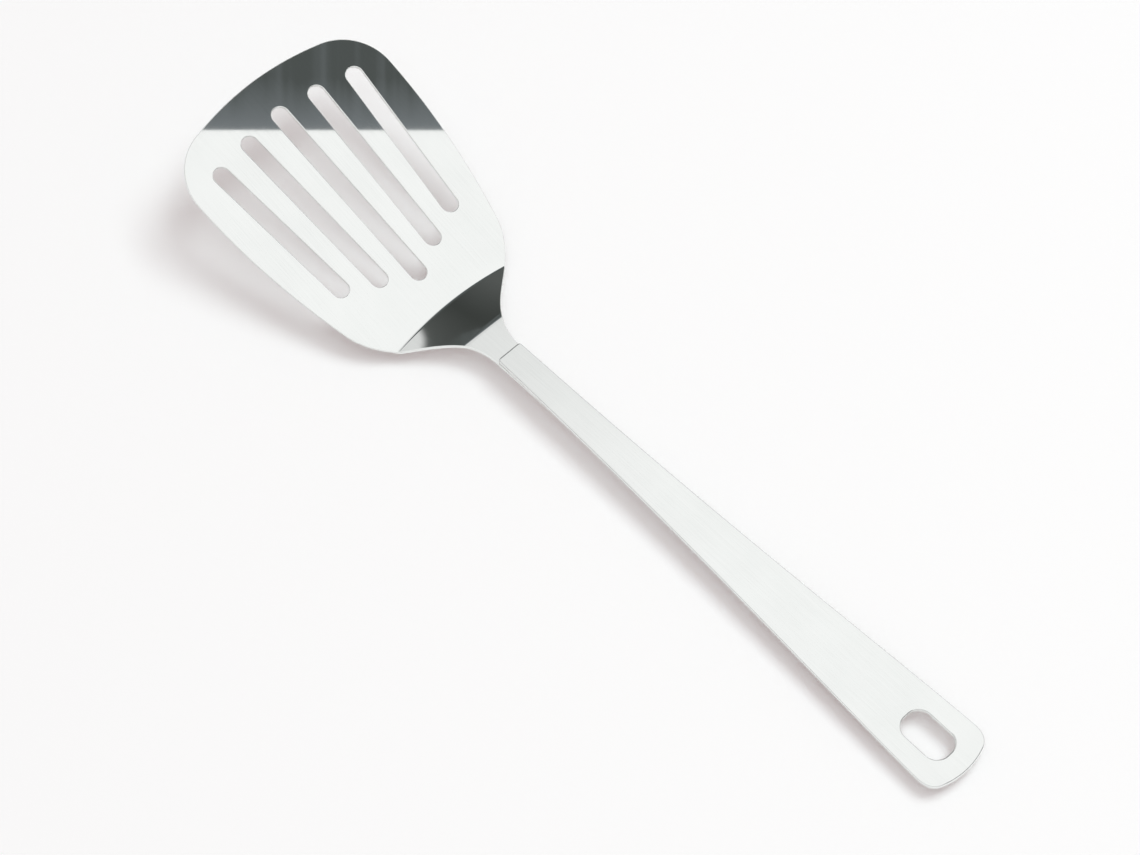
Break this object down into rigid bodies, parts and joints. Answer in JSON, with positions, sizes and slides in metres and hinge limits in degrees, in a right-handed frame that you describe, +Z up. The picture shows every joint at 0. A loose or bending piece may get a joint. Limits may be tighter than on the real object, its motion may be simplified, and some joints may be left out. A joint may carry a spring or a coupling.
{
  "type": "spatula",
  "caption": "Slotted stainless steel kitchen turner: wide rounded blade with long draining slots, stepped neck and a flat flared handle with an oval hanging hole.",
  "frame": {"origin": "under the middle of the tool's length and width, on the surface that the tool lies on", "axes": "+X toward the blade's tip, +Y to the side across the blade, +Z up from the surface"},
  "size_m": [0.32, 0.0826, 0.0312],
  "materials": {
    "head_steel": "bright polished sheet with faint lengthwise grinding lines",
    "handle_steel": "satin polished bar with softened edges",
    "weld_steel": "ground flush with the tang"
  },
  "bodies": {
    "root": {"head": "head_steel", "handle": "handle_steel", "weld_plug_front": "weld_steel", "weld_plug_middle": "weld_steel", "weld_plug_rear": "weld_steel"}
  },
  "joints": []
}
